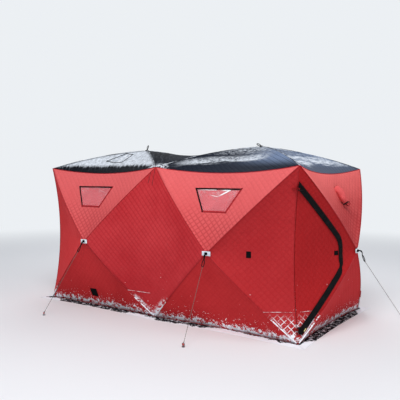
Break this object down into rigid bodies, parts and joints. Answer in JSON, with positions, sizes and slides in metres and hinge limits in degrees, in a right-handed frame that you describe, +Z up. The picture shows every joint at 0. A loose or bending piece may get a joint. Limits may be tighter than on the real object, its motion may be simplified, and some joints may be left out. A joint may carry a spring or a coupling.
{
  "type": "ice fishing shelter",
  "caption": "Hub-framed pop-up ice fishing shelter in quilted cloth, two bays, with a side door that swings, windows, a vent sleeve, guy ropes and a snow skirt.",
  "frame": {"origin": "centre of the footprint, on the ground", "axes": "+X along the long wall towards the end wall with the door, -Y out of the front wall with the low vent patch, +Z up"},
  "size_m": [5.032, 3.258, 2.0741],
  "materials": {
    "red_cloth": "quilted, matte",
    "roof_cloth": "quilted, frosted",
    "black_webbing": "woven",
    "skirt_cloth": "matte",
    "clear_film": "clear film",
    "reflective_film": "reflective",
    "rope": "twisted",
    "red_plastic": "gloss",
    "anchor_steel": "plated",
    "black_plastic": "matte",
    "pole_glassfibre": "satin",
    "yellow_plastic": "satin"
  },
  "bodies": {
    "root": {"back_diamond": "red_cloth", "back_lower_left": "red_cloth", "back_lower_right": "red_cloth", "back_upper_left": "red_cloth", "back_upper_right": "red_cloth", "black_tapes": "black_webbing", "corner_back_left": "red_cloth", "corner_back_right": "red_cloth", "corner_front_left": "red_cloth", "corner_front_right": "red_cloth", "corner_pockets": "black_plastic", "door_surround_lower": "red_cloth", "door_surround_upper": "red_cloth", "end_lower_left": "red_cloth", "end_lower_right": "red_cloth", "end_upper_left": "red_cloth", "end_upper_right": "red_cloth", "front_diamond": "red_cloth", "front_lower_left": "red_cloth", "front_lower_right": "red_cloth", "front_upper_left": "red_cloth", "front_upper_right": "red_cloth", "guy_ropes": "rope", "hinge_tabs": "black_plastic", "hub_blocks": "black_plastic", "hub_plates": "reflective_film", "ice_anchors": "anchor_steel", "poles": "pole_glassfibre", "pull_straps": "black_webbing", "roof_back_left": "roof_cloth", "roof_back_right": "roof_cloth", "roof_diamond": "roof_cloth", "roof_end_left": "roof_cloth", "roof_end_right": "roof_cloth", "roof_front_left": "roof_cloth", "roof_front_right": "roof_cloth", "rope_toggles": "red_plastic", "skirt_ends": "skirt_cloth", "skirt_sides": "skirt_cloth", "vent_sleeve": "red_cloth", "vent_tie": "black_webbing", "window_covers": "red_cloth", "window_panes": "clear_film"},
    "door": {"door_panel": "red_cloth", "door_storm_flap": "black_webbing", "zip_pull": "yellow_plastic"}
  },
  "joints": [
    {"name": "door_swing", "type": "hinge", "parent": "root", "child": "door", "pos_m": [1.798, -0.898, 0.85], "axis": [0, 0, -1], "range_deg": [0, 125]}
  ]
}
